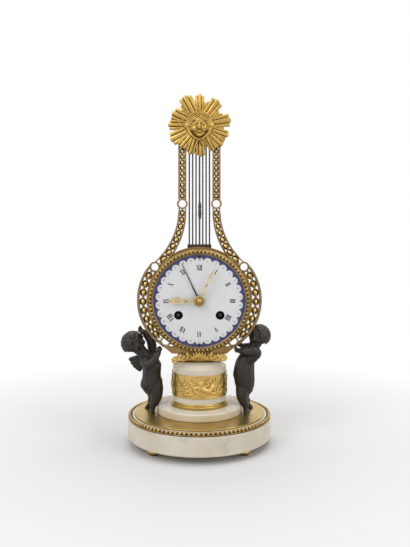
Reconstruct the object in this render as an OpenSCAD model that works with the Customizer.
// Lyre mantel clock: marble base, gilt lyre frame, bronze figures and a striking movement.
// Z is up, the dial faces -Y, and the origin is on the table under the column's axis. Millimetres.

/* [Base] */
// Radius of the marble base slab
base_r = 76; // [72:0.5:84]
// Height of the slab's outer wall
base_wall_h = 20; // [14:0.5:28]
// Rise of the slab's middle above the ledge that carries the beads
base_rise = 3; // [2:0.25:5]
// Width of the ledge that carries the beads
ledge_w = 4.6; // [4.4:0.1:6]
// Radius of the slab's rounded edges
base_edge = 1.2; // [0.4:0.1:2]
// Height of the turned feet
foot_h = 7; // [5:0.25:12]
// Radius of the turned feet
foot_r = 6.5; // [5:0.25:9]
// Distance of the feet from the axis
foot_ring_r = 64; // [50:0.5:66]
// Bead count of the base ring
base_beads = 100; // [60:1:110]
// Bead radius of the base ring
base_bead_r = 1.95; // [1.4:0.05:2.1]
// Radius of the gilt tray
tray_r = 69; // [60:0.5:70]
// Thickness of the gilt tray
tray_t = 1.6; // [1:0.1:3]

/* [Column] */
// Radius of the marble plinth
plinth_r = 45; // [38:0.5:47]
// Height of the marble plinth
plinth_h = 8; // [5:0.25:12]
// Radius of the column drum
drum_r = 28.5; // [26:0.25:32]
// Height of the column drum above its gilt ring
drum_h = 35.4; // [30:0.2:45]
// Height of the gilt ring at the column's foot
ring_h = 5.4; // [3:0.2:8]
// How far the gilt ring stands out of the drum
ring_out = 1.7; // [1:0.1:3]
// Height of the frieze
frieze_h = 23.8; // [16:0.2:28]
// Thickness of the frieze band
frieze_t = 0.7; // [0.4:0.05:1.2]
// Height of the relief on the frieze
relief_h = 1.6; // [0.8:0.1:2.2]
// Radius of the marble cap on the drum
cap_r = 24; // [18:0.25:26]
// Height of the marble cap
cap_h = 3.6; // [2:0.2:6]
// Radius of the tie rod through the column
tie_r = 3; // [2:0.1:4]
// Clearance of the tie rod in the marble
tie_gap = 0.3; // [0.2:0.05:0.8]

/* [Lyre] */
// Height of the lyre's foot between column and dial ring
lyre_foot_h = 10; // [8:0.25:14]
// Thickness of the lyre frame, front to back
frame_t = 6; // [5:0.25:9]
// Width of the ring that holds the movement case
ring_w = 5.4; // [4:0.1:6]
// Outer radius of the crescent rails
crescent_r = 66.3; // [64:0.1:69]
// Width of a rail
rail_w = 1.5; // [1:0.1:2]
// Distance of the ear rings from the axis
ear_x = 47.7; // [46:0.1:50]
// Height of the ear rings above the dial centre
ear_up = 34.9; // [33:0.1:37]
// Distance of the lower rings from the axis
low_x = 36.3; // [34:0.1:38]
// Drop of the lower rings below the dial centre
low_down = 45; // [43:0.1:47]
// Bore radius of the small open rings
eye_r = 3.9; // [3:0.1:4.4]
// Wall of the small open rings
eye_wall = 1.6; // [1.2:0.1:2.4]
// Distance of the upper arms from the axis
arm_x = 18.2; // [17:0.1:21]
// Height of the upper rings above the dial centre
upper_up = 102.4; // [98:0.2:108]
// Height of the arms' tops above the dial centre
arm_top_up = 167.5; // [160:0.5:180]
// Half width of the arms at their rails' outer faces
arm_half = 4.1; // [3.9:0.05:4.6]
// Half width of the neck where it leaves the ear
neck_half = 4.8; // [4.4:0.05:5.2]
// Neck's axis at its foot, across
neck_low_x = 39.4; // [38.5:0.1:41]
// Neck's axis at its foot, above the dial centre
neck_low_up = 41.8; // [41:0.1:44]
// Neck's axis at its middle, across
neck_mid_x = 24.6; // [23.5:0.1:26]
// Neck's axis at its middle, above the dial centre
neck_mid_up = 64.4; // [62:0.2:67]
// Beads on each run of an arm
run_beads = 8; // [6:1:9]
// Radius of the crescent beads
crescent_bead_r = 2.9; // [2:0.05:3]
// Radius of the wire that the beads are strung on
bead_wire_r = 0.6; // [0.4:0.05:0.9]
// Height of the yoke between the arms
yoke_h = 6; // [5:0.25:9]
// Number of strings
string_n = 7; // [5:2:7]
// Spacing of the strings
string_pitch = 3.6; // [3:0.1:3.8]
// Radius of a string
string_r = 0.6; // [0.4:0.05:0.8]
// Height of the bar that ends the strings
bridge_h = 3; // [2:0.25:4]

/* [Sun] */
// Height of the sun's centre above the dial centre
sun_up = 186; // [182:0.5:192]
// Length of the longest rays from the sun's centre
sun_r = 33; // [28:0.5:36]
// Thickness of a ray at its ridge
ray_t = 2.6; // [1.6:0.1:3.4]
// Half width of the mask
mask_w = 9; // [7:0.25:10]
// Half height of the mask
mask_h = 12; // [10:0.25:13]

/* [Dial and hands] */
// Visible radius of the enamel dial
dial_r = 49.5; // [46:0.25:52]
// Thickness of the dial
dial_t = 1.8; // [1.2:0.1:2.6]
// Distance of the winding holes from the axis
wind_x = 21.9; // [21.4:0.1:24]
// Drop of the winding holes below the dial centre
wind_down = 15.1; // [14:0.1:17]
// Radius of the winding holes
wind_hole_r = 4.7; // [4:0.1:5.5]
// Width of the bezel ring
bezel_w = 4.6; // [3.6:0.1:5]
// Beads on the bezel
bezel_beads = 76; // [50:1:78]
// Radius of the bezel beads
bezel_bead_r = 1.7; // [1.1:0.05:1.85]
// Length of the minute hand
minute_len = 40; // [34:0.5:44]
// Length of the hour hand
hour_len = 33; // [26:0.5:36]
// Length of the date hand
date_len = 43.8; // [38:0.2:46]
// Minute hand's turn from twelve, clockwise
minute_turn = 25; // [0:1:359]
// Hour hand's turn from twelve, clockwise
hour_turn = 270; // [0:1:359]
// Date hand's turn from twelve, clockwise
date_turn = 335; // [0:1:359]
// Thickness of a hand
hand_t = 0.9; // [0.6:0.05:1.2]
// Free space between neighbouring hands
hand_gap = 0.9; // [0.5:0.05:1.4]

/* [Movement] */
// Wall of the movement case
case_wall = 1.4; // [1:0.1:2]
// Depth of the movement case
case_depth = 49; // [47:0.5:60]
// Distance from the dial's back to the front plate
motion_gap = 6.2; // [6:0.1:8]
// Thickness of the movement plates
plate_t = 1.6; // [1.2:0.1:2.4]
// Distance between the movement plates
plate_gap = 24; // [23:0.5:30]
// Radial clearance of turning arbors
run_fit = 0.05; // [0.02:0.01:0.1]
// Clearance of fixed parts that slip together
slip_fit = 0.1; // [0.05:0.01:0.2]
// Clearance between parts that pass each other
pass_gap = 0.4; // [0.3:0.05:0.8]
// Radius of the train's arbors
arbor_r = 0.9; // [0.7:0.05:1]
// Radius of the arbors' pivots
pivot_r = 0.6; // [0.4:0.05:0.65]
// Radius of the winding arbors
wind_arbor_r = 2.4; // [2:0.1:2.8]
// Radius of the spring barrels
barrel_r = 18.4; // [16:0.1:19]
// Length of the spring barrels
barrel_len = 12; // [9:0.25:13]
// Turns of a mainspring
spring_turns = 7; // [5:1:9]
// Thickness of a mainspring
spring_t = 0.6; // [0.3:0.05:0.8]
// Module of the barrel wheels
mod_barrel = 0.48; // [0.46:0.005:0.49]
// Module of the second wheels
mod_second = 0.42; // [0.41:0.005:0.43]
// Module of the centre wheel
mod_centre = 0.375; // [0.36:0.005:0.38]
// Module of the third wheel and the pin wheel
mod_third = 0.4; // [0.39:0.005:0.41]
// Module of the motion work
mod_motion = 0.5; // [0.48:0.005:0.52]
// Thickness of a train wheel
wheel_t = 1.2; // [0.8:0.05:1.4]
// Radius of the escape wheel
escape_r = 6.6; // [5.5:0.1:7]
// Distance of the anchor's arbor from the escape wheel's
anchor_rise = 9.6; // [9:0.1:10.2]
// Radius of the bell
bell_r = 37; // [30:0.5:38]
// Depth of the bell
bell_depth = 9; // [7:0.25:10]
// Wall of the bell
bell_wall = 1.4; // [1:0.1:2]

/* [Pendulum] */
// Height of the pendulum's pin above the dial centre
swing_up = 178; // [176:0.5:184]
// Depth of the pendulum behind the axis
swing_y = 45; // [44.5:0.25:50]
// Drop of the bob's centre below the dial centre
bob_down = 32; // [26:0.5:36]
// Radius of the bob
bob_r = 19; // [14:0.5:21]
// Thickness of the bob
bob_t = 8; // [5:0.25:9]
// Radius of the pendulum rod
rod_r = 1; // [0.7:0.05:1.4]
// Length of the crutch
crutch_len = 45; // [38:0.5:55]

/* [Hidden] */
$fn = 48;
// Wide rounds are drawn with finer facets
wide_r = 20;
fine_fn = 192;

gilt = "goldenrod";
brass = "darkkhaki";
marble = "ivory";
bronze = "darkslategray";
steel = "lightsteelblue";

// Heights of the base and column
ledge_z = foot_h + base_wall_h;
slab_top = ledge_z + base_rise;
slab_top_r = base_r - ledge_w;
tray_top = slab_top + tray_t;
plinth_top = tray_top + plinth_h;
drum_foot = plinth_top + ring_h;
drum_top = drum_foot + drum_h;
column_top = drum_top + cap_h;
ring_r = drum_r + ring_out;
spigot_r = drum_r - 2.5;
frieze_z = drum_foot + (drum_h - frieze_h) / 2;
nut_r = 2.4 * tie_r;
nut_h = 1.4 * tie_r;
nut_recess_h = nut_h + 3;
tie_top = column_top + 0.6 * lyre_foot_h;

// Radii and depths around the dial
case_ri = dial_r + slip_fit;
case_ro = case_ri + case_wall;
ring_ri = case_ro + run_fit;
ring_ro = ring_ri + ring_w;
bezel_ro = case_ri + bezel_w;
dial_z = column_top + lyre_foot_h + ring_ro;
frame_y = -frame_t / 2;
plate_y = -5.4;
front_face = plate_y - plate_t;
dial_back = front_face - motion_gap;
dial_front = dial_back - dial_t;
bezel_back = dial_back + 1.2;
bezel_front = dial_front - 0.6;
back_y = plate_y + plate_gap;
back_face = back_y + plate_t;
case_end = bezel_back + case_depth;
cover_t = 1.2;
cover_face = case_end + cover_t;

// Rise of the tall parts above the dial centre
neck_top_up = upper_up - eye_r - eye_wall - 3.4;
yoke_up = arm_top_up;
yoke_half = arm_x + arm_half + 0.6;
bridge_up = ring_ro - 0.5;
bridge_half = (string_n + 1) * string_pitch / 2 - 1.6;

// Point at distance ra from a and rb from b, on the left of a to b for side 1
function meet(a, ra, b, rb, side) =
    let (d = norm(b - a), u = (b - a) / d, k = (ra * ra - rb * rb + d * d) / (2 * d))
    a + k * u + side * sqrt(ra * ra - k * k) * [-u.y, u.x];
function polar(r, a) = r * [cos(a), sin(a)];
// Centre of the circle through three points
function circle3(a, b, c) =
    let (p = b - a, q = c - a, d = 2 * (p.x * q.y - p.y * q.x), pp = p * p, qq = q * q)
    a + [q.y * pp - p.y * qq, p.x * qq - q.x * pp] / d;
function lerp(a, b, t) = a + (b - a) * t;

// Teeth of the wheels and pinions
barrel_teeth = 84;
second_leaves = 12;
second_teeth = 72;
centre_leaves = 10;
centre_teeth = 84;
third_leaves = 7;
third_teeth = 70;
escape_leaves = 7;
escape_teeth = 32;
pin_leaves = 10;
pin_teeth = 60;
fly_leaves = 7;
cannon_leaves = 12;
minute_teeth = 36;
minute_leaves = 10;
hour_teeth = 40;
date_teeth = 30;

// Centre distances and places of the arbors, from the dial centre
function reach(m, a, b) = m * (a + b) / 2;
barrel_reach = reach(mod_barrel, barrel_teeth, second_leaves);
second_reach = reach(mod_second, second_teeth, centre_leaves);
centre_reach = reach(mod_centre, centre_teeth, third_leaves);
third_reach = reach(mod_third, third_teeth, escape_leaves);
pin_reach = reach(mod_second, second_teeth, pin_leaves);
fly_reach = reach(mod_third, pin_teeth, fly_leaves);
motion_reach = reach(mod_motion, cannon_leaves, minute_teeth);
mod_hour = 2 * motion_reach / (minute_leaves + hour_teeth);
// Bearings from each arbor to the next
third_bearing = 96;
strike_bearing = 100;
pin_bearing = 66;
fly_bearing = 140;
minute_bearing = 60;
axis_c = [0, 0];
going_c = [-wind_x, -wind_down];
strike_c = [wind_x, -wind_down];
second_c = meet(axis_c, second_reach, going_c, barrel_reach, -1);
third_c = polar(centre_reach, third_bearing);
escape_c = [0, third_c.y + sqrt(third_reach * third_reach - third_c.x * third_c.x)];
anchor_c = escape_c + [0, anchor_rise];
strike_second_c = strike_c + polar(barrel_reach, strike_bearing);
pin_c = strike_second_c + polar(pin_reach, pin_bearing);
fly_c = pin_c + polar(fly_reach, fly_bearing);
minute_c = polar(motion_reach, minute_bearing);
bell_c = [-4, -4];
hammer_c = [41, 12];
hammer_head_r = 3;
hammer_head_c = bell_c + polar(bell_r + hammer_head_r + pass_gap, -12);

// Phase of a gear of nb teeth that meshes with one of na teeth at phase pa, b lying at angle beta from a
function mesh_phase(beta, pa, na, nb) = beta + 180 + ((beta - pa) * na - 180) / nb;
function heading(a, b) = atan2(b.y - a.y, b.x - a.x);

// Depths of the wheels between the plates
centre_y = plate_y + 1.6;
second_y = plate_y + 4.4;
great_y = plate_y + 7.4;
great_t = 1.6;
third_y = plate_y + 11;
escape_y = plate_y + 18;
pin_len = 2.2;
fly_y = third_y + wheel_t + pin_len + pass_gap;
bell_y = back_face + 3.8;
count_y = back_face + 0.8;

// Depths of the motion work and hands
cannon_y = front_face - 2.2;
hour_wheel_y = cannon_y - 1.6;
date_wheel_y = hour_wheel_y - 1.6;
motion_t = 1;
date_hand_y = dial_front - hand_gap - hand_t;
hour_hand_y = date_hand_y - hand_gap - hand_t;
minute_hand_y = hour_hand_y - hand_gap - hand_t;
knob_y = minute_hand_y - 2.6;
pipe_wall = 0.65;
cannon_r = arbor_r + run_fit + pipe_wall;
hour_pipe_r = cannon_r + run_fit + pipe_wall;
date_pipe_r = hour_pipe_r + run_fit + pipe_wall;

// Placing helpers: a flat outline seen from the front, and round bars along the depth
module slab(y0, t) translate([0, y0 + t, 0]) rotate([90, 0, 0]) linear_extrude(t) children();
module at(p) translate([p.x, 0, dial_z + p.y]) children();
module rod_y(r, y0, y1) translate([0, y0, 0]) rotate([-90, 0, 0])
    cylinder(r = r, h = y1 - y0, $fn = r > wide_r ? fine_fn : $fn);
module turned() rotate_extrude($fn = 96) children();
module ring2d(ro, ri) difference() { disc2d(ro); disc2d(ri); }
module disc2d(r) circle(r, $fn = r > wide_r ? fine_fn : $fn);
module both_sides() { children(); mirror([1, 0, 0]) children(); }

// Outline of a toothed wheel: thin teeth with free play, so that wheels turn clear of each other
tooth_root_w = 0.2;
tooth_pitch_w = 0.155;
tooth_tip_w = 0.06;
tooth_add = 0.6;
tooth_ded = 0.95;
function tooth(n, m) = [[-tooth_root_w, n * m / 2 - tooth_ded * m], [-tooth_pitch_w, n * m / 2],
    [-tooth_tip_w, n * m / 2 + tooth_add * m], [tooth_tip_w, n * m / 2 + tooth_add * m],
    [tooth_pitch_w, n * m / 2], [tooth_root_w, n * m / 2 - tooth_ded * m]];
module gear(n, m, y0, t, phase)
    slab(y0, t) polygon([for (k = [0:n - 1]) for (p = tooth(n, m))
        polar(p.y, phase + (k + p.x) * 360 / n)]);
// Wheel with round lightening holes
module wheel(n, m, y0, t, phase, windows = 6) difference() {
    gear(n, m, y0, t, phase);
    for (k = [0:windows - 1]) rotate([0, -k * 360 / windows, 0])
        translate([n * m * 0.29, 0, 0]) rod_y(n * m * 0.115, y0 - 1, y0 + t + 1);
}
// Arbor between the plates with its two pivots
module arbor() {
    rod_y(arbor_r, plate_y + 0.2, back_y - 0.2);
    rod_y(pivot_r, front_face, back_face);
}

module feet() color(gilt)
    for (k = [0:3]) rotate(45 + 90 * k) translate([foot_ring_r, 0, 0]) turned() difference() {
        union() {
            translate([0, 0.3 * foot_h]) square([foot_r - 0.35 * foot_h, 0.7 * foot_h]);
            translate([foot_r - 0.35 * foot_h, 0.5 * foot_h]) circle(0.35 * foot_h);
            square([foot_r - 0.35 * foot_h, 0.7 * foot_h]);
        }
        translate([-2 * foot_r, -foot_h]) square([2 * foot_r, 3 * foot_h]);
    }

module base_slab() color(marble) difference() {
    turned() polygon([[tie_r + tie_gap, foot_h], [base_r - base_edge, foot_h], [base_r, foot_h + base_edge],
        [base_r, ledge_z - base_edge], [base_r - base_edge, ledge_z], [slab_top_r, ledge_z],
        [slab_top_r, slab_top], [tie_r + tie_gap, slab_top]]);
    translate([0, 0, foot_h - 1]) cylinder(r = nut_r + 2, h = nut_recess_h + 1);
    stud_holes();
}
module stud_holes() for (p = stud_points) translate([p.x, p.y, slab_top - stud_len])
    cylinder(r = stud_r + slip_fit, h = stud_len + tray_t + 1);

bead_ring_r = (base_r + slab_top_r) / 2;
module base_bead_ring() color(gilt) {
    turned() translate([slab_top_r + 0.4, ledge_z]) square([ledge_w - 1, 1]);
    for (k = [0:base_beads - 1]) rotate(k * 360 / base_beads) translate([bead_ring_r, 0, ledge_z + 1])
        bead_seat(base_bead_r);
}
// Bead cut flat a little below its middle, let into what carries it
bead_sink = 0.15;
module bead_seat(r) intersection() {
    translate([0, 0, 0.55 * r]) sphere(r, $fn = 24);
    translate([-r, -r, -bead_sink]) cube(2 * r + bead_sink);
}

module gilt_tray() color(gilt) difference() {
    translate([0, 0, slab_top]) cylinder(r = tray_r, h = tray_t, $fn = 96);
    translate([0, 0, slab_top - 1]) cylinder(r = tie_r + tie_gap, h = tray_t + 2);
    stud_holes();
}

module plinth_disc() color(marble) turned() polygon([[tie_r + tie_gap, tray_top],
    [plinth_r, tray_top], [plinth_r, plinth_top - base_edge], [plinth_r - base_edge, plinth_top],
    [tie_r + tie_gap, plinth_top]]);

module column_ring() color(gilt) turned() polygon([[spigot_r, plinth_top], [ring_r, plinth_top],
    [ring_r, plinth_top + 0.45 * ring_h], [ring_r - 0.6 * ring_out, plinth_top + 0.55 * ring_h],
    [ring_r - 0.3 * ring_out, plinth_top + 0.8 * ring_h], [drum_r, drum_foot], [spigot_r, drum_foot]]);

module column_drum() color(marble) turned() polygon([[tie_r + tie_gap, plinth_top], [spigot_r, plinth_top],
    [spigot_r, drum_foot], [drum_r, drum_foot], [drum_r, drum_top - base_edge],
    [drum_r - base_edge, drum_top], [cap_r, drum_top], [cap_r, column_top - 0.8],
    [cap_r - 0.8, column_top], [tie_r + tie_gap, column_top]]);

// Gilt band round the drum with a run of pointed leaf bosses between two raised rims
boss_n = 16;
rim_h = 2;
band_ri = drum_r + slip_fit;
module frieze_band() color(gilt) difference() {
    union() {
        for (z = [frieze_z, frieze_z + frieze_h - rim_h]) translate([0, 0, z])
            cylinder(r = band_ri + 1.5 * frieze_t, h = rim_h);
        translate([0, 0, frieze_z]) cylinder(r = band_ri + frieze_t, h = frieze_h);
        for (k = [0:boss_n - 1]) rotate((k + 0.5) * 360 / boss_n)
            translate([band_ri + frieze_t / 2, 0, frieze_z + frieze_h / 2])
                rotate([k % 2 * 90 - 45, 0, 0]) leaf_boss();
    }
    translate([0, 0, frieze_z - 1]) cylinder(r = band_ri, h = frieze_h + 2);
}
// Leaf with a swelling middle
module leaf_boss() hull() {
    sphere(relief_h, $fn = 12);
    for (s = [-1, 1]) translate([0, 0, s * 0.26 * frieze_h]) sphere(0.4 * relief_h, $fn = 8);
}

module tie_rod() color(steel)
    translate([0, 0, foot_h + 3]) cylinder(r = tie_r, h = tie_top - foot_h - 3);
module tie_nut() color(brass) difference() {
    translate([0, 0, foot_h + nut_recess_h - nut_h]) cylinder(r = nut_r, h = nut_h, $fn = 6);
    translate([0, 0, foot_h]) cylinder(r = tie_r, h = nut_recess_h + 1);
}

// Scrolled leaf mount in front of the lyre's foot
mount_half = 29.5;
mount_t = 4;
scroll_r = 0.42 * lyre_foot_h;
module acanthus_mount() color(gilt) {
    slab(frame_y - mount_t, mount_t) above_column() {
        translate([scroll_r - mount_half, column_top])
            square([2 * (mount_half - scroll_r), 0.72 * lyre_foot_h]);
        for (s = [-1, 1]) translate([s * (mount_half - scroll_r), column_top + scroll_r])
            circle(scroll_r);
        translate([0, column_top]) circle(0.9 * lyre_foot_h);
    }
    for (s = [-1, 1]) translate([s * (mount_half - scroll_r), 0, column_top + scroll_r]) {
        rod_y(0.45 * scroll_r, frame_y - mount_t - leaf_t, frame_y - mount_t);
    }
    slab(frame_y - mount_t - leaf_t, leaf_t) above_column()
        for (k = [-4:4]) translate([0, column_top]) rotate(k * leaf_step)
            leaf2d(0.86 * lyre_foot_h + 1.4 * abs(k), 2.3);
}
// Leaves that rise from the mount's foot
leaf_t = 1.2;
leaf_step = 20;
module leaf2d(len, w) polygon([[-0.5 * w, 0.22 * len], [-w, 0.6 * len], [-0.6 * w, 0.9 * len], [0, len],
    [0.6 * w, 0.9 * len], [w, 0.6 * len], [0.5 * w, 0.22 * len]]);
// What an outline has above the column's top
module above_column() intersection() {
    union() children();
    translate([-2 * mount_half, column_top]) square([4 * mount_half, 2 * mount_half]);
}

// Rails and rings of the lyre, as flat outlines seen from the front, right side
ear_c = [ear_x, ear_up];
low_c = [low_x, -low_down];
upper_c = [arm_x, upper_up];
eye_ro = eye_r + eye_wall;
neck_mid = [neck_mid_x, neck_mid_up];
neck_low = [neck_low_x, neck_low_up];
neck_top = [arm_x, neck_top_up];
neck_c = circle3(neck_low, neck_mid, neck_top);
function neck_side(p, off) = p + off * (p - neck_c) / norm(p - neck_c);
neck_mid_half = (neck_half + arm_half) / 2;
module neck_rail(side) {
    a = neck_side(neck_low, side * neck_half);
    b = neck_side(neck_mid, side * neck_mid_half);
    c = neck_side(neck_top, side * arm_half);
    o = circle3(a, b, c);
    r = norm(a - o);
    intersection() {
        translate(o) ring2d(side > 0 ? r : r + rail_w, side > 0 ? r - rail_w : r);
        polygon([o, lerp(o, ear_c, 3), lerp(o, b, 5), lerp(o, c, 3)]);
    }
}
module arm2d() {
    neck_rail(1);
    neck_rail(-1);
    translate(upper_c) circle(eye_ro);
    for (s = [-1, 1]) translate([arm_x + s * (arm_half - rail_w / 2), 0]) {
        translate([-rail_w / 2, neck_top_up - 0.2]) square([rail_w, upper_up - neck_top_up]);
        translate([-rail_w / 2, upper_up]) square([rail_w, arm_top_up - upper_up]);
    }
}
module lyre_arm() difference() {
    frame_piece() difference() {
        arm2d();
        translate(ear_c) circle(eye_ro);
        disc2d(ring_ro);
    }
    at(upper_c) rod_y(eye_r, frame_y - 1, frame_y + frame_t + 1);
}
module lyre_arm_right() color(gilt) lyre_arm();
module lyre_arm_left() color(gilt) mirror([1, 0, 0]) lyre_arm();

// Rail from the outside of the ear ring to the outside of the lower ring, through the widest point
crescent_w = 1.5 * rail_w;
rail_ear = ear_c * (1 + eye_ro / norm(ear_c));
rail_low = low_c * (1 + eye_ro / norm(low_c));
rail_c = circle3(rail_ear, [crescent_r, 0], rail_low);
module crescent_rail() {
    r = norm(rail_ear - rail_c);
    intersection() {
        translate(rail_c) ring2d(r, r - crescent_w);
        polygon([rail_c, lerp(rail_c, ear_c, 3), [3 * ear_x, 0], lerp(rail_c, low_c, 3)]);
    }
}
apron_out = 38;
apron_foot = 29;
foot_half = 16;
apron_drop = 1.2;
module frame_piece() translate([0, 0, dial_z]) slab(frame_y, frame_t) children();
module lyre_ring() color(gilt) difference() {
    union() {
        frame_piece() disc2d(ring_ro);
        frame_piece() polygon([[-apron_out, -low_down - 5.5], [-apron_foot, -ring_ro - apron_drop],
            [apron_foot, -ring_ro - apron_drop], [apron_out, -low_down - 5.5], [0, -ring_ri]]);
        frame_piece() translate([-foot_half, -ring_ro - lyre_foot_h])
            square([2 * foot_half, lyre_foot_h + 2]);
        both_sides() {
            frame_piece() crescent_rail();
            frame_piece() translate(ear_c) circle(eye_ro);
            frame_piece() translate(low_c) circle(eye_ro);
        }
    }
    at(axis_c) rod_y(ring_ri, frame_y - 1, frame_y + frame_t + 1);
    for (s = [-1, 1]) {
        at([s * ear_x, ear_up]) rod_y(eye_r, frame_y - 1, frame_y + frame_t + 1);
        at([s * low_x, -low_down]) rod_y(eye_r, frame_y - 1, frame_y + frame_t + 1);
    }
    translate([0, 0, column_top - 1]) cylinder(r = tie_r, h = tie_top - column_top + 1);
}

// Beads strung on a wire between the rails: crescents, necks and upper arms
rail_ri = norm(rail_ear - rail_c) - crescent_w;
// Distance from the dial centre to the crescent rail's inner face, at angle a
function rail_reach(a) = let (u = polar(1, a), k = rail_c * u)
    k + sqrt(k * k - rail_c * rail_c + rail_ri * rail_ri);
function crescent_point(a) = polar((ring_ro + rail_reach(a)) / 2, a);
crescent_from = 22;
crescent_to = -37;
neck_bead_r0 = neck_half - rail_w - 0.15;
neck_bead_r1 = arm_half - rail_w - 0.02;
neck_turn = ((heading(neck_c, neck_top) - heading(neck_c, neck_low)) % 360 - 360) % 360;
function share(k, n) = k / (n - 1);
crescent_points = [for (k = [0:run_beads - 1])
    crescent_point(lerp(crescent_from, crescent_to, share(k, run_beads)))];
neck_points = [for (k = [0:run_beads - 1]) neck_c + polar(norm(neck_low - neck_c),
    heading(neck_c, neck_low) + neck_turn * (0.06 + 0.88 * pow(share(k, run_beads), 0.92)))];
upper_pitch = 6;
upper_first = upper_up + eye_ro + neck_bead_r1;
upper_n = floor((arm_top_up - upper_first) / upper_pitch) + 1;
upper_points = [for (k = [0:upper_n - 1]) [arm_x, upper_first + k * upper_pitch]];
module wire(a, b) at(a) rotate([0, 90 - heading(a, b), 0])
    cylinder(r = bead_wire_r, h = norm(b - a), $fn = 16);
// Beads of radius r0 to r1 along the points, with the wire running on to the seats at both ends
module strand(points, r0, r1, first, last) {
    n = len(points);
    for (k = [0:n - 1]) at(points[k]) sphere(lerp(r0, r1, share(k, n)), $fn = 32);
    for (k = [0:n - 2]) wire(points[k], points[k + 1]);
    wire(points[0], first);
    wire(points[n - 1], last);
}
// Point on the outside of a small ring at c that faces p
function on_eye(c, p) = c + (eye_ro + run_fit) * (p - c) / norm(p - c);
module bead_strands() color(gilt) difference() {
    both_sides() {
        strand(crescent_points, crescent_bead_r, crescent_bead_r,
            on_eye(ear_c, crescent_points[0]), on_eye(low_c, crescent_points[run_beads - 1]));
        strand(neck_points, neck_bead_r0, neck_bead_r1,
            on_eye(ear_c, neck_points[0]), on_eye(upper_c, neck_points[run_beads - 1]));
        strand(upper_points, neck_bead_r1, neck_bead_r1,
            on_eye(upper_c, upper_points[0]), [arm_x, arm_top_up]);
    }
    at(axis_c) rod_y(ring_ro + run_fit, -frame_t, frame_t);
}

tab_half = 7;
tab_top = sun_up + 6;
module yoke() color(gilt) frame_piece() {
    translate([-yoke_half, yoke_up]) square([2 * yoke_half, yoke_h]);
    translate([-tab_half, yoke_up]) square([2 * tab_half, tab_top - yoke_up]);
}
module strings() color(steel) for (k = [0:string_n - 1])
    at([(k - (string_n - 1) / 2) * string_pitch, bridge_up + bridge_h])
        cylinder(r = string_r, h = yoke_up - bridge_up - bridge_h, $fn = 16);
module string_bridge() color(bronze) difference() {
    translate([-bridge_half, frame_y, dial_z + bridge_up - 3]) cube([2 * bridge_half, frame_t, bridge_h + 3]);
    at(axis_c) rod_y(ring_ro, frame_y - 1, frame_y + frame_t + 1);
}

// Sunburst: bundles of ridged rays, each with its bearing, length share and half angle
bundles = [[0, 1, 9], [36, 0.95, 11], [80, 0.98, 11], [107, 0.93, 8], [131, 0.95, 10], [154, 0.84, 7],
    [180, 0.95, 8], [201, 0.92, 8], [222, 0.95, 9], [246, 0.98, 11],
    [272, 1, 9], [296, 0.95, 10], [328, 0.98, 11]];
sun_back = frame_y - 0.6;
sun_face = sun_back - ray_t;
hub_r = 14;
module sun_rays() color(gilt) at([0, sun_up]) {
    rod_y(tab_half - 1, sun_back, frame_y);
    rod_y(hub_r, sun_face, sun_back);
    for (b = bundles) rotate([0, b.x, 0]) ray_bundle(b.y * sun_r, b.z);
}
// A bundle of three blunt rays that lie nearly side by side, the middle one longest
module ray_bundle(len, half) {
    w = len * tan(half);
    for (k = [-1:1]) translate([0.5 * k * w, 0, 0]) rotate([0, 0.25 * k * half, 0])
        ray(len * (1 - 0.05 * abs(k)), 0.38 * w);
}
module ray(len, w1) {
    r0 = 0.55 * hub_r;
    w0 = 0.8 * w1;
    points = [[-w0, sun_back, r0], [w0, sun_back, r0], [0, sun_back - 0.6 * ray_t, r0],
        [-w1, sun_back, len - 1], [w1, sun_back, len - 1], [0, sun_back - ray_t, len]];
    hull() polyhedron(points, [[0, 1, 2], [0, 4, 3], [0, 1, 4], [1, 5, 4], [1, 2, 5], [2, 3, 5], [2, 0, 3],
        [3, 4, 5]]);
}

// Calm mask with parted hair, in front of the sunburst
mask_d = 7;
module ball(p, s, n = 14) hull() translate(p) scale(s) sphere(1, $fn = n);
module sun_mask() color(gilt) at([0, sun_up - 1]) translate([0, sun_face - 0.02, 0]) intersection() {
    union() {
        ball([0, 0, 0], [mask_w, mask_d, mask_h], 24);
        ball([0, -mask_d * 0.86, -0.08 * mask_h], [1.5, 1.9, 2.6]);
        ball([0, -mask_d * 0.72, -0.42 * mask_h], [2.5, 1.2, 0.9]);
        ball([0, -mask_d * 0.55, -0.72 * mask_h], [3, 2, 2.2]);
        both_sides() {
            ball([0.42 * mask_w, -mask_d * 0.72, 0.18 * mask_h], [2.1, 1, 0.9]);
            for (k = [0:6]) rotate([0, 12 + 20 * k, 0]) ball([0, -1.2, mask_h + 1.2], [3.6, 4, 3.2]);
            ball([1.45 * mask_w, -1, -0.35 * mask_h], [3, 2.6, 4.6]);
            ball([1.5 * mask_w, -1, 0.2 * mask_h], [3.2, 2.8, 4.4]);
        }
    }
    translate([-40, -40, -40]) cube([80, 40, 80]);
}

// Figures: limbs are chains of rounded bars between joints, each joint with its radius
module limb(chain) for (k = [0:len(chain) - 2]) hull() {
    translate([chain[k].x, chain[k].y, chain[k].z]) sphere(chain[k][3], $fn = 16);
    translate([chain[k + 1].x, chain[k + 1].y, chain[k + 1].z]) sphere(chain[k + 1][3], $fn = 16);
}
stand_z = tray_top;
reach_z = column_top;
stud_r = 1.2;
stud_len = 6;
left_feet = [[-51, -13], [-57, 9]];
right_feet = [[50, -13], [56, 9]];
stud_points = concat(left_feet, right_feet);
hand_y = frame_y - 3.6;
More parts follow.
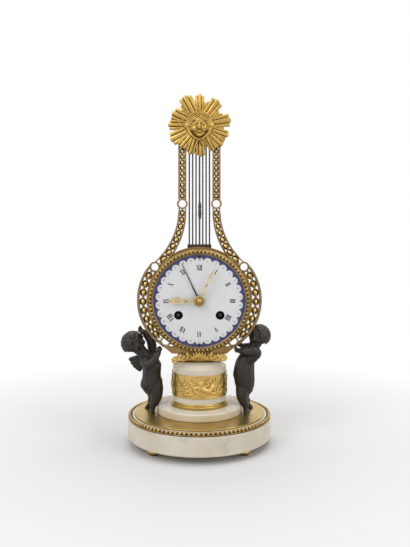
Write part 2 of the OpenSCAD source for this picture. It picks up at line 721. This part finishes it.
// Leg from hip to toe, for a foot that stands at f and steps by d
module leg(hip, knee, f, d) limb([hip, knee, [f.x, f.y, stand_z + 5.4, 3.8],
    [f.x, f.y, stand_z + 3.4, 3.4], [f.x + d.x, f.y + d.y, stand_z + 2.6, 2.6]]);
module standing(kept) intersection() {
    children();
    translate([-150, -60, stand_z]) cube([300, 120, kept]);
}
module putto_left() color(bronze) standing(120) {
    limb([[-51, 0, stand_z + 27, 10.5], [-50, -1.5, stand_z + 37, 11], [-52, 0, stand_z + 48, 9.6],
        [-60, -1, stand_z + 59, 6], [-68, -2, reach_z + 14, 6]]);
    ball([-72, -3, reach_z + 18.5], [12.2, 12, 12.6], 24);
    leg([-47.5, -3, stand_z + 24, 8.6], [-49.5, -9, stand_z + 14, 6.2], left_feet[0], [2.5, -6.5]);
    leg([-55, 3, stand_z + 24, 8.4], [-58, 5, stand_z + 14, 6], left_feet[1], [4, -5]);
    limb([[-60, 3, stand_z + 53, 5.6], [-68, 9, stand_z + 66, 4.6], [-60.5, 3, dial_z - 35, 3.2]]);
    limb([[-48, -4, stand_z + 52, 5.6], [-57, -13, stand_z + 53, 4.8], [-42, hand_y, reach_z + 11.5, 3.2]]);
    hull() {
        translate([-60, 8, stand_z + 50]) sphere(2.2, $fn = 12);
        translate([-77, 12, stand_z + 54]) sphere(1.2, $fn = 12);
        translate([-73, 12, stand_z + 42]) sphere(1.2, $fn = 12);
    }
}
module putto_right() color(bronze) standing(120) {
    limb([[49, 0, stand_z + 27, 10.5], [47.5, -1, stand_z + 37, 11.2], [49.5, 0, stand_z + 48, 9.6],
        [57, 2, stand_z + 60, 6], [63, 3, reach_z + 20, 6]]);
    ball([67, 4, reach_z + 26], [10.8, 11, 11.2], 24);
    leg([47, -3, stand_z + 24, 8.6], [48, -9, stand_z + 14, 6.2], right_feet[0], [-2.5, -6.5]);
    leg([54, 3, stand_z + 24, 8.4], [57, 4, stand_z + 14, 6], right_feet[1], [-4, -5]);
    limb([[56, -3, stand_z + 53, 5.6], [62, -11, stand_z + 60, 4.6], [41, hand_y, reach_z + 11, 3.2]]);
    limb([[57, 6, stand_z + 53, 5.4], [66, 8, stand_z + 59, 4.6], [46, 7, reach_z + 13, 3.2]]);
}
module putto_studs() color(brass) for (p = stud_points)
    translate([p.x, p.y, slab_top - stud_len]) cylinder(r = stud_r, h = stud_len + tray_t);

module bezel() color(gilt) {
    at(axis_c) rotate([90, 0, 0]) turned() polygon([[case_ri, -bezel_back], [bezel_ro, -bezel_back],
        [bezel_ro, -bezel_back + 1.4], [bezel_ro - 1, -bezel_front], [case_ri, -bezel_front]]);
    for (k = [0:bezel_beads - 1]) at(polar(case_ri + bezel_bead_r, k * 360 / bezel_beads))
        translate([0, bezel_front, 0]) rotate([90, 0, 0]) bead_seat(bezel_bead_r);
}

dial_foot_r = 1.2;
screw_r = 1.1;
screw_head_r = 1.7;
dial_screw_r = dial_r - 3.4;
cover_screw_r = dial_r - 2.6;
module dial() color("white") difference() {
    union() {
        at(axis_c) rod_y(dial_r, dial_front, dial_back);
        for (a = [30, 180, 300]) at(polar(0.86 * dial_r, a)) rod_y(dial_foot_r, dial_back, front_face);
    }
    at(axis_c) rod_y(date_pipe_r + pass_gap, dial_front - 1, dial_back + 1);
    for (s = [-1, 1]) at([s * wind_x, -wind_down]) rod_y(wind_hole_r, dial_front - 1, dial_back + 1);
    for (a = [90, 270]) at(polar(dial_screw_r, a)) rod_y(screw_r, dial_front - 1, dial_back + 1);
}
// Screw with its head towards -Y at depth y0 and its shank of the given length behind
module screw(y0, len) {
    rod_y(screw_head_r, y0 - 0.7, y0);
    rod_y(screw_r, y0, y0 + len);
}
module case_screws() color(steel) {
    for (a = [90, 270]) at(polar(dial_screw_r, a)) screw(dial_front, front_face - dial_front);
    for (a = [45:90:315]) at(polar(cover_screw_r, a)) mirror([0, 1, 0]) screw(-cover_face, cover_t + 4);
}

lug_r = 2.4;
module drum_case() color(brass) difference() {
    union() {
        at(axis_c) difference() {
            rod_y(case_ro, bezel_back, case_end);
            rod_y(case_ri, bezel_back - 1, case_end + 1);
        }
        intersection() {
            for (a = [45:90:315]) at(polar(cover_screw_r, a)) rod_y(lug_r, case_end - 6, case_end);
            at(axis_c) rod_y(case_ro - 0.2, bezel_back, case_end);
        }
        for (a = [45:90:315]) at(polar(cover_screw_r + lug_r, a)) rotate([0, -a, 0])
            translate([-lug_r, case_end - 6, -0.8]) cube([lug_r + 1, 6, 1.6]);
    }
    for (a = [45:90:315]) at(polar(cover_screw_r, a)) rod_y(screw_r, case_end - 7, case_end + 1);
}
module rear_cover() color(brass) difference() {
    at(axis_c) rod_y(case_ro, case_end, cover_face);
    at(anchor_c) rod_y(2.2 * arbor_r, case_end - 1, cover_face + 1);
    for (a = [45:90:315]) at(polar(cover_screw_r, a)) rod_y(screw_r, case_end - 1, cover_face + 1);
}

// Plates with a pivot hole for each arbor
plate_r = case_ri - slip_fit;
pillar_r = 2;
pillar_ring_r = dial_r - 4;
pillar_points = [for (a = [0, 128, 180, 270]) polar(pillar_ring_r, a)];
arbors = [second_c, third_c, escape_c, strike_second_c, pin_c, fly_c, hammer_c];
module front_plate() color(brass) difference() {
    at(axis_c) rod_y(plate_r, front_face, plate_y);
    for (p = concat(arbors, [anchor_c])) at(p) rod_y(pivot_r + run_fit, front_face - 1, plate_y + 1);
    at(axis_c) rod_y(arbor_r + run_fit, front_face - 1, plate_y + 1);
    at(minute_c) rod_y(pivot_r + run_fit, front_face - 1, plate_y + 1);
    for (p = [going_c, strike_c]) at(p)
        rod_y(wind_arbor_r + run_fit, front_face - 1, plate_y + 1);
}
module back_plate() color(brass) difference() {
    at(axis_c) rod_y(plate_r, back_y, back_face);
    for (p = [axis_c, second_c, third_c, escape_c, fly_c, pin_c]) at(p)
        rod_y(pivot_r + run_fit, back_y - 1, back_face + 1);
    for (p = [anchor_c, strike_second_c, hammer_c]) at(p)
        rod_y(arbor_r + run_fit, back_y - 1, back_face + 1);
    for (p = [going_c, strike_c]) at(p)
        rod_y(back_pivot_r + run_fit, back_y - 1, back_face + 1);
}
module plate_pillars() color(brass) for (p = pillar_points) at(p) rod_y(pillar_r, plate_y, back_y);

// Spring barrels, their winding arbors and mainsprings
back_pivot_r = 0.6 * wind_arbor_r;
barrel_y = great_y + great_t;
barrel_wall = 1.1;
square_w = 1.36 * wind_arbor_r;
module spring_barrel(c) color(brass) at(c) difference() {
    union() {
        gear(barrel_teeth, mod_barrel, great_y, great_t, 0);
        rod_y(barrel_r, barrel_y, barrel_y + barrel_len);
    }
    rod_y(wind_arbor_r + run_fit, great_y - 1, barrel_y + 1);
    rod_y(barrel_r - barrel_wall, barrel_y, barrel_y + barrel_len + 1);
}
module going_barrel() spring_barrel(going_c);
module strike_barrel() spring_barrel(strike_c);
ratchet_r = 5.6;
ratchet_n = 16;
ratchet_y = front_face - 1.6;
ratchet_t = 1.2;
module winding_arbor(c) color(steel) at(c) {
    rod_y(wind_arbor_r, ratchet_y, back_y - 0.2);
    rod_y(back_pivot_r, back_y - 0.2, back_face);
    translate([-square_w / 2, dial_front + 0.4, -square_w / 2])
        cube([square_w, ratchet_y - dial_front, square_w]);
    slab(ratchet_y, ratchet_t) polygon([for (k = [0:ratchet_n - 1])
        for (p = [[0, ratchet_r], [0.1, ratchet_r - 0.9]]) polar(p.y, (k + p.x) * 360 / ratchet_n)]);
}
module going_winding_arbor() winding_arbor(going_c);
module strike_winding_arbor() winding_arbor(strike_c);
// Spiral strip between the arbor and the barrel's wall
spring_steps = 24;
module mainspring(c) color(steel) at(c) slab(barrel_y + 0.8, barrel_len - 1.6) spiral2d();
module spiral2d() {
    r0 = wind_arbor_r + 0.35;
    r1 = barrel_r - barrel_wall - 0.3;
    n = spring_turns * spring_steps;
    outer = [for (k = [0:n]) polar(lerp(r0 + spring_t, r1, k / n), k * 360 / spring_steps)];
    inner = [for (k = [n:-1:0]) polar(lerp(r0, r1 - spring_t, k / n), k * 360 / spring_steps)];
    polygon(concat(outer, inner));
}
module going_mainspring() mainspring(going_c);
module strike_mainspring() mainspring(strike_c);
// Pawls on the front plate, just clear of the ratchet teeth
module ratchet_clicks() color(steel) for (p = [going_c, strike_c]) at(p) {
    translate([0, 0, -ratchet_r - pass_gap]) slab(ratchet_y, ratchet_t)
        polygon([[0, 0], [4.2, -0.6], [5.2, -3.4], [2.4, -3.4], [1.6, -1.6]]);
    translate([3.8, 0, -ratchet_r - 2.9]) rod_y(0.9, ratchet_y, front_face);
}

// Going train
module second_wheel() color(brass) at(second_c) {
    arbor();
    gear(second_leaves, mod_barrel, great_y - 0.4, great_t + 0.8,
        mesh_phase(heading(going_c, second_c), 0, barrel_teeth, second_leaves));
    wheel(second_teeth, mod_second, second_y, wheel_t, 0);
}
module centre_wheel() color(brass) at(axis_c) {
    rod_y(arbor_r, minute_hand_y + 0.2, back_y - 0.2);
    rod_y(pivot_r, back_y - 0.2, back_face);
    gear(centre_leaves, mod_second, second_y - 0.6, wheel_t + 1.2,
        mesh_phase(heading(second_c, axis_c), 0, second_teeth, centre_leaves));
    wheel(centre_teeth, mod_centre, centre_y, wheel_t, 0);
}
module third_wheel() color(brass) at(third_c) {
    arbor();
    gear(third_leaves, mod_centre, centre_y - 0.6, wheel_t + 1.2,
        mesh_phase(heading(axis_c, third_c), 0, centre_teeth, third_leaves));
    wheel(third_teeth, mod_third, third_y, wheel_t, 0);
}
module escape_wheel() color(brass) at(escape_c) {
    arbor();
    gear(escape_leaves, mod_third, third_y - 0.6, wheel_t + 1.2,
        mesh_phase(heading(third_c, escape_c), 0, third_teeth, escape_leaves));
    slab(escape_y, 1) polygon([for (k = [0:escape_teeth - 1])
        for (p = [[0, escape_r], [0.2, escape_r - 1.1], [0.75, escape_r - 1.1]])
            polar(p.y, (k + p.x) * 360 / escape_teeth)]);
}
// Anchor with its crutch, which hangs behind the rear cover and forks round the pendulum rod
crutch_y = cover_face + 1;
crutch_t = 1.2;
fork_gap = 0.6;
fork_w = 1.2;
module anchor() color(steel) at(anchor_c) {
    rod_y(pivot_r, front_face, plate_y + 0.2);
    rod_y(arbor_r, plate_y + 0.2, crutch_y + crutch_t + 0.6);
    slab(escape_y - 0.2, 1.4) {
        circle(2);
        for (s = [-1, 1]) polygon([[0, 1.2], [s * 7, -2.2], [s * 7.4, -4.8], [s * 6.4, -4.8],
            [s * 6, -2.8], [0, -0.6]]);
    }
    slab(crutch_y, crutch_t) {
        circle(2);
        translate([-1.4, -crutch_len]) square([2.8, crutch_len]);
        translate([-rod_r - fork_gap - fork_w, -crutch_len - 3]) square([2 * (rod_r + fork_gap + fork_w), 3]);
    }
    for (s = [-1, 1])
        translate([s * (rod_r + fork_gap + fork_w / 2) - fork_w / 2, crutch_y, -crutch_len - 3])
            cube([fork_w, swing_y - crutch_y + 2.5, 3]);
}

// Strike train
module strike_second_wheel() color(brass) at(strike_second_c) {
    rod_y(pivot_r, front_face, plate_y + 0.2);
    rod_y(arbor_r, plate_y + 0.2, count_y + 1.6);
    gear(second_leaves, mod_barrel, great_y - 0.4, great_t + 0.8,
        mesh_phase(heading(strike_c, strike_second_c), 0, barrel_teeth, second_leaves));
    wheel(second_teeth, mod_second, second_y, wheel_t, 0);
}
// Notched wheel that counts the hours, behind the back plate
count_r = 16.5;
module count_wheel() color(brass) at(strike_second_c) difference() {
    rod_y(count_r, count_y, count_y + 1);
    rod_y(arbor_r, count_y - 1, count_y + 2);
    for (h = [1:12]) rotate([0, h * (h + 1) / 2 * 360 / 78, 0]) translate([count_r, count_y + 0.5, 0])
        cube([4, 3, 0.8], center = true);
}
pin_ring_r = 0.36 * pin_teeth * mod_third;
lift_pins = 10;
module pin_wheel() color(brass) at(pin_c) {
    arbor();
    gear(pin_leaves, mod_second, second_y - 0.6, wheel_t + 1.2,
        mesh_phase(heading(strike_second_c, pin_c), 0, second_teeth, pin_leaves));
    gear(pin_teeth, mod_third, third_y, wheel_t, 0);
    for (k = [0:lift_pins - 1]) rotate([0, k * 360 / lift_pins, 0]) translate([pin_ring_r, 0, 0])
        rod_y(0.5, third_y + wheel_t / 2, third_y + wheel_t + pin_len);
}
fly_half = 5.6;
module fly() color(brass) at(fly_c) {
    arbor();
    gear(fly_leaves, mod_third, third_y - 0.6, wheel_t + 1.2,
        mesh_phase(heading(pin_c, fly_c), 0, pin_teeth, fly_leaves));
    translate([-fly_half, fly_y, -0.4]) cube([2 * fly_half, 6, 0.8]);
}
// Hammer on its arbor: a tail by the lifting pins and a head beside the bell's rim
tail_tip = pin_c + polar(pin_ring_r + 0.5 + pass_gap + 0.8, heading(pin_c, hammer_c));
module hammer() color(steel) {
    at(hammer_c) {
        rod_y(pivot_r, front_face, plate_y + 0.2);
        rod_y(arbor_r, plate_y + 0.2, count_y + 2.6);
    }
    translate([0, 0, dial_z]) slab(third_y + wheel_t + 0.4, 1.2) bar2d(hammer_c, tail_tip, 0.8);
    translate([0, 0, dial_z]) slab(count_y + 1.4, 1.2) bar2d(hammer_c, hammer_head_c, 1.3);
    at(hammer_head_c) rod_y(hammer_head_r, count_y + 1.4, bell_y + 5);
}
module bar2d(a, b, half) {
    translate(a) circle(2 * half);
    translate(a) rotate(heading(a, b)) translate([0, -half]) square([norm(b - a), 2 * half]);
}
// Bell with its mouth towards the plate, on a post from the back plate
post_r = 2;
module bell() color("silver") at(bell_c) rotate([90, 0, 0]) translate([0, 0, -bell_y - bell_depth])
    turned() polygon([
    [post_r, 0], [0.55 * bell_r, 0], [0.9 * bell_r, 0.25 * bell_depth], [bell_r, bell_depth],
    [bell_r - bell_wall, bell_depth], [0.9 * bell_r - bell_wall, 0.25 * bell_depth + bell_wall],
    [0.55 * bell_r - 0.5, bell_wall], [post_r, bell_wall]]);
module bell_post() color(steel) at(bell_c) {
    rod_y(post_r, back_face, bell_y + bell_depth + 0.8);
    rod_y(2 * post_r, back_face, back_face + 0.5);
    rod_y(1.8 * post_r, bell_y + bell_depth - bell_wall - 1, bell_y + bell_depth - bell_wall);
}

// Motion work behind the dial
module cannon_pinion() color(brass) at(axis_c) difference() {
    union() {
        rod_y(cannon_r, minute_hand_y + hand_t, front_face - 0.3);
        gear(cannon_leaves, mod_motion, cannon_y, motion_t, 0);
    }
    rod_y(arbor_r + run_fit, minute_hand_y - 1, front_face);
}
module minute_wheel() color(brass) at(minute_c) {
    rod_y(pivot_r, front_face - 0.3, plate_y);
    rod_y(arbor_r, hour_wheel_y - 0.4, front_face - 0.3);
    wheel(minute_teeth, mod_motion, cannon_y, motion_t,
        mesh_phase(heading(axis_c, minute_c), 0, cannon_leaves, minute_teeth), 5);
    gear(minute_leaves, mod_hour, hour_wheel_y, motion_t + 0.6, 0);
}
module hour_wheel() color(brass) at(axis_c) difference() {
    union() {
        gear(hour_teeth, mod_hour, hour_wheel_y, motion_t,
            mesh_phase(heading(minute_c, axis_c), 0, minute_leaves, hour_teeth));
        rod_y(hour_pipe_r, hour_hand_y + hand_t, hour_wheel_y + motion_t);
    }
    rod_y(cannon_r + run_fit, hour_hand_y - 1, cannon_y);
}
module date_wheel() color(brass) at(axis_c) difference() {
    union() {
        gear(date_teeth, mod_motion, date_wheel_y, motion_t, 0);
        rod_y(date_pipe_r, date_hand_y + hand_t, date_wheel_y + motion_t);
    }
    rod_y(hour_pipe_r + run_fit, date_hand_y - 1, hour_wheel_y);
}

// Hands: outlines drawn upwards from the dial centre, then turned clockwise
module hand(y0, turn, boss, bore) color(gilt) at(axis_c) rotate([0, turn, 0]) difference() {
    union() {
        slab(y0, hand_t) children();
        rod_y(boss, y0, y0 + hand_t);
    }
    rod_y(bore, y0 - 1, y0 + hand_t + 1);
}
// Leaf-shaped part of an openwork hand, centred at height h, with an eye in it
module hand_leaf(h, half_w, half_h) difference() {
    polygon([[0, h - half_h], [0.75 * half_w, h - 0.45 * half_h], [half_w, h],
        [0.7 * half_w, h + 0.5 * half_h], [0, h + half_h], [-0.7 * half_w, h + 0.5 * half_h],
        [-half_w, h], [-0.75 * half_w, h - 0.45 * half_h]]);
    translate([0, h]) circle(0.5 * half_w);
}
module hand_stem(len, half) polygon([[-half, 0], [half, 0], [0.4 * half, len], [-0.4 * half, len]]);
module hour_hand() hand(hour_hand_y, hour_turn, 4.6, cannon_r + run_fit) {
    hand_stem(hour_len, 0.8);
    hand_leaf(0.31 * hour_len, 1.9, 4.2);
    hand_leaf(0.75 * hour_len, 3.4, 6.6);
}
module minute_hand() {
    hand(minute_hand_y, minute_turn, 3.6, arbor_r + run_fit) {
        hand_stem(minute_len, 0.8);
        hand_leaf(0.3 * minute_len, 1.7, 4);
        hand_leaf(0.68 * minute_len, 2.5, 5.6);
    }
    color(gilt) at(axis_c) {
        rod_y(2.8, minute_hand_y - 1, minute_hand_y);
        rod_y(1.9, knob_y, minute_hand_y - 1);
    }
}
module date_hand() color("black") hand(date_hand_y, date_turn, 5.6, hour_pipe_r + run_fit) {
    hand_stem(date_len - 2, 0.55);
    translate([0, date_len - 5]) polygon([[-1.3, 0], [1.3, 0], [0, 5]]);
}

// Pendulum on its cock
eye_len = 3.6;
eye_ring_r = 3;
bob_bottom = -bob_down - bob_r;
cock_end = swing_y - eye_len / 2 - 0.6;
cock_w = 6;
rating_h = 3;
module suspension_cock() color(brass) at([0, swing_up]) {
    translate([-cock_w / 2, frame_y + frame_t, -2.5]) cube([cock_w, cock_end - frame_y - frame_t, 5]);
    rod_y(rod_r, cock_end, swing_y + eye_len / 2 + 1.2);
    rod_y(1.8 * rod_r, swing_y + eye_len / 2 + 0.4, swing_y + eye_len / 2 + 1.2);
}
module pendulum_rod() color(steel) difference() {
    union() {
        at([0, swing_up]) rod_y(eye_ring_r, swing_y - eye_len / 2, swing_y + eye_len / 2);
        translate([0, swing_y, dial_z + bob_bottom - rating_h - 2])
            cylinder(r = rod_r, h = swing_up - bob_bottom + rating_h + 2 - 2);
    }
    at([0, swing_up]) rod_y(rod_r + run_fit, swing_y - eye_len, swing_y + eye_len);
}
// Lens-shaped bob, with the rating nut that carries it
bob_rim = 1.6;
module pendulum_bob() color(gilt) difference() {
    union() {
        at([0, -bob_down]) translate([0, swing_y, 0]) rotate([90, 0, 0]) turned()
            polygon([[0, -bob_t / 2], [0.6 * bob_r, -0.4 * bob_t], [bob_r, -bob_rim / 2],
                [bob_r, bob_rim / 2], [0.6 * bob_r, 0.4 * bob_t], [0, bob_t / 2]]);
        translate([0, swing_y, dial_z + bob_bottom - rating_h]) cylinder(r = eye_ring_r, h = rating_h + 1);
    }
    translate([0, swing_y, dial_z + bob_bottom - rating_h - 1])
        cylinder(r = rod_r, h = 2 * bob_r + rating_h + 2);
}

feet();
base_slab();
base_bead_ring();
gilt_tray();
plinth_disc();
column_ring();
column_drum();
frieze_band();
tie_rod();
tie_nut();
acanthus_mount();
lyre_ring();
lyre_arm_left();
lyre_arm_right();
bead_strands();
yoke();
strings();
string_bridge();
sun_rays();
sun_mask();
putto_left();
putto_right();
putto_studs();
bezel();
dial();
case_screws();
drum_case();
rear_cover();
front_plate();
back_plate();
plate_pillars();
going_barrel();
going_winding_arbor();
going_mainspring();
strike_barrel();
strike_winding_arbor();
strike_mainspring();
ratchet_clicks();
second_wheel();
centre_wheel();
third_wheel();
escape_wheel();
anchor();
strike_second_wheel();
count_wheel();
pin_wheel();
fly();
hammer();
bell();
bell_post();
cannon_pinion();
minute_wheel();
hour_wheel();
date_wheel();
hour_hand();
minute_hand();
date_hand();
pendulum_rod();
pendulum_bob();
suspension_cock();
